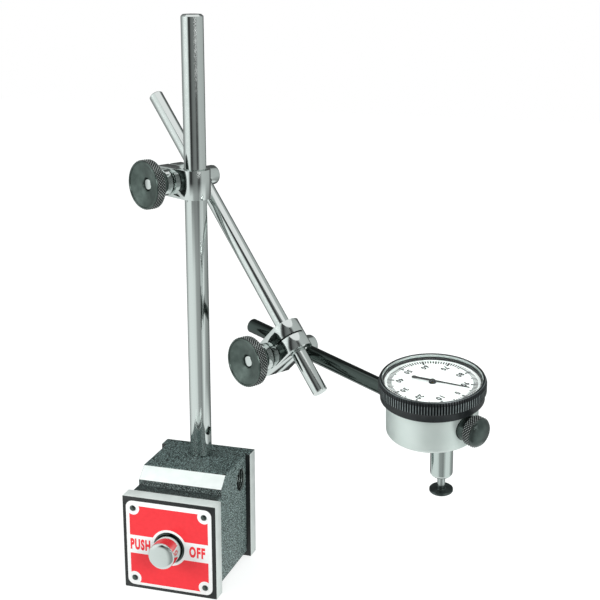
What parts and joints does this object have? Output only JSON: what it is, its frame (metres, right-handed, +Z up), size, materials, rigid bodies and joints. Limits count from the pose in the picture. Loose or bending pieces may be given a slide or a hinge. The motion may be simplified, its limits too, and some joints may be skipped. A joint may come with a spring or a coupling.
{
  "type": "dial indicator with magnetic base",
  "caption": "Dial indicator with contact disc on a black rod, held by two swivel clamps and an arm rod on the upright post of a push-button magnetic base.",
  "frame": {"origin": "centre of the front pole plate's foot, where it stands on the machine table", "axes": "+X to the right of the label, +Y from the label to the rear plate, +Z up along the post"},
  "size_m": [0.1712, 0.0949, 0.2442],
  "materials": {
    "wrinkle_paint": "black wrinkle paint",
    "machined_steel": "ground or machined bright steel",
    "polished_chrome": "polished plating",
    "satin_chrome": "satin plated case",
    "black_oxide": "black oxide on turned steel",
    "black_enamel": "gloss black",
    "red_label": "printed red and white metal label",
    "white_dial": "white dial with black scale",
    "clear_crystal": "clear crystal",
    "brass": "machined brass",
    "magnet_alloy": "dark magnet alloy"
  },
  "bodies": {
    "base": {"base_body": "wrinkle_paint", "front_plate": "machined_steel", "rear_plate": "machined_steel", "label_rivet_1": "machined_steel", "label_rivet_2": "machined_steel", "label_rivet_3": "machined_steel", "label_rivet_4": "machined_steel", "front_screw_1": "machined_steel", "front_screw_2": "machined_steel", "front_screw_3": "machined_steel", "front_screw_4": "machined_steel", "rear_screw_1": "machined_steel", "rear_screw_2": "machined_steel", "rear_screw_3": "machined_steel", "rear_screw_4": "machined_steel", "label_plate": "red_label", "front_bush": "polished_chrome", "rear_bush": "polished_chrome", "fixed_magnet": "magnet_alloy"},
    "push_rod": {"push_button": "polished_chrome", "rear_button": "polished_chrome", "sliding_magnet": "magnet_alloy", "magnet_clip_front": "machined_steel", "magnet_clip_rear": "machined_steel"},
    "post": {"post": "polished_chrome"},
    "upper_clamp": {"upper_clamp_block": "polished_chrome"},
    "upper_swivel": {"upper_eye_bolt": "polished_chrome", "upper_groove_washer": "polished_chrome", "upper_spacer": "polished_chrome"},
    "upper_knob": {"upper_knob": "black_oxide"},
    "arm": {"arm_rod": "polished_chrome"},
    "lower_clamp": {"lower_clamp_block": "polished_chrome"},
    "lower_swivel": {"lower_eye_bolt": "polished_chrome", "lower_groove_washer": "polished_chrome", "lower_spacer": "polished_chrome"},
    "lower_knob": {"lower_knob": "black_oxide"},
    "holding_rod": {"holding_rod": "black_enamel"},
    "thumb_nut": {"thumb_nut": "black_oxide"},
    "indicator": {"indicator_case": "satin_chrome", "stem": "polished_chrome", "stem_bush": "brass", "movement_plate": "brass", "movement_screw_1": "machined_steel", "movement_screw_2": "machined_steel", "movement_screw_3": "machined_steel", "bracket_left": "brass", "bracket_right": "brass", "return_spring": "machined_steel", "hairspring": "machined_steel"},
    "bezel": {"bezel": "black_oxide", "crystal": "clear_crystal", "crystal_ring": "machined_steel", "dial_face": "white_dial"},
    "plunger": {"spindle": "machined_steel", "contact_disc": "machined_steel", "spindle_collar": "machined_steel"},
    "crown_arbor": {"crown_arbor": "brass"},
    "transfer_arbor": {"transfer_arbor": "brass"},
    "hand": {"centre_arbor": "brass", "hand": "black_enamel"}
  },
  "joints": [
    {"name": "push_rod_slide", "type": "slide", "parent": "base", "child": "push_rod", "axis": [0, 1, 0], "range_m": [0, 0.009]},
    {"name": "post_turn", "type": "hinge", "parent": "base", "child": "post", "pos_m": [0, 0.03505, 0.05], "axis": [0, 0, 1], "range_deg": [-180, 180]},
    {"name": "upper_clamp_slide", "type": "slide", "parent": "post", "child": "upper_clamp", "axis": [0, 0, 1], "range_m": [-0.04, 0.06]},
    {"name": "upper_swivel_turn", "type": "hinge", "parent": "upper_clamp", "child": "upper_swivel", "pos_m": [-0.01039, 0.04105, 0.17341], "axis": [0.5, 0.866, 0], "range_deg": [-75, 8]},
    {"name": "upper_knob_turn", "type": "hinge", "parent": "upper_swivel", "child": "upper_knob", "pos_m": [-0.01039, 0.04105, 0.17341], "axis": [-0.5, -0.866, 0], "range_deg": [0, 180]},
    {"name": "arm_slide", "type": "slide", "parent": "upper_swivel", "child": "arm", "axis": [0.6013, -0.3471, -0.7197], "range_m": [-0.02, 0.03]},
    {"name": "lower_clamp_turn", "type": "hinge", "parent": "arm", "child": "lower_clamp", "pos_m": [0.04688, 0.02218, 0.11221], "axis": [0.6013, -0.3471, -0.7197], "range_deg": [-30, 60]},
    {"name": "lower_swivel_turn", "type": "hinge", "parent": "lower_clamp", "child": "lower_swivel", "pos_m": [0.0394, 0.0265, 0.10388], "axis": [0.5, 0.866, 0], "range_deg": [-60, 40]},
    {"name": "lower_knob_turn", "type": "hinge", "parent": "lower_swivel", "child": "lower_knob", "pos_m": [0.0394, 0.0265, 0.10388], "axis": [-0.5, -0.866, 0], "range_deg": [0, 180]},
    {"name": "holding_rod_slide", "type": "slide", "parent": "lower_swivel", "child": "holding_rod", "axis": [0.8617, -0.4975, -0.1004], "range_m": [-0.02, 0.022]},
    {"name": "thumb_nut_turn", "type": "hinge", "parent": "holding_rod", "child": "thumb_nut", "pos_m": [0.11276, -0.00165, 0.09605], "axis": [0.8617, -0.4975, -0.1004], "range_deg": [0, 180]},
    {"name": "indicator_swivel", "type": "hinge", "parent": "holding_rod", "child": "indicator", "pos_m": [0.11276, -0.00165, 0.09605], "axis": [0.8617, -0.4975, -0.1004], "range_deg": [-90, 90]},
    {"name": "bezel_turn", "type": "hinge", "parent": "indicator", "child": "bezel", "pos_m": [0.11276, -0.00165, 0.09605], "axis": [0.0209, -0.1628, 0.9864], "continuous": true},
    {"name": "plunger_slide", "type": "slide", "parent": "indicator", "child": "plunger", "axis": [0.0209, -0.1628, 0.9864], "range_m": [0, 0.00508], "stiffness_N_per_m": 40, "springref_m": -0.02, "deforming": ["return_spring"]},
    {"name": "crown_arbor_turn", "type": "hinge", "parent": "indicator", "child": "crown_arbor", "pos_m": [0.11478, 0.00075, 0.10148], "axis": [0.8617, -0.4975, -0.1004], "range_deg": [0, 125]},
    {"name": "transfer_arbor_turn", "type": "hinge", "parent": "indicator", "child": "transfer_arbor", "pos_m": [0.12076, -0.00194, 0.09584], "axis": [0.0209, -0.1628, 0.9864], "range_deg": [0, 185]},
    {"name": "hand_turn", "type": "hinge", "parent": "indicator", "child": "hand", "pos_m": [0.11276, -0.00165, 0.09605], "axis": [0.0209, -0.1628, 0.9864], "range_deg": [-730, 0]}
  ],
  "couplings": [
    {"joint": "crown_arbor_turn", "follows": "plunger_slide", "rad_per_m": 412.28},
    {"joint": "transfer_arbor_turn", "follows": "plunger_slide", "rad_per_m": 618.42},
    {"joint": "hand_turn", "follows": "plunger_slide", "rad_per_m": -2473.7}
  ]
}
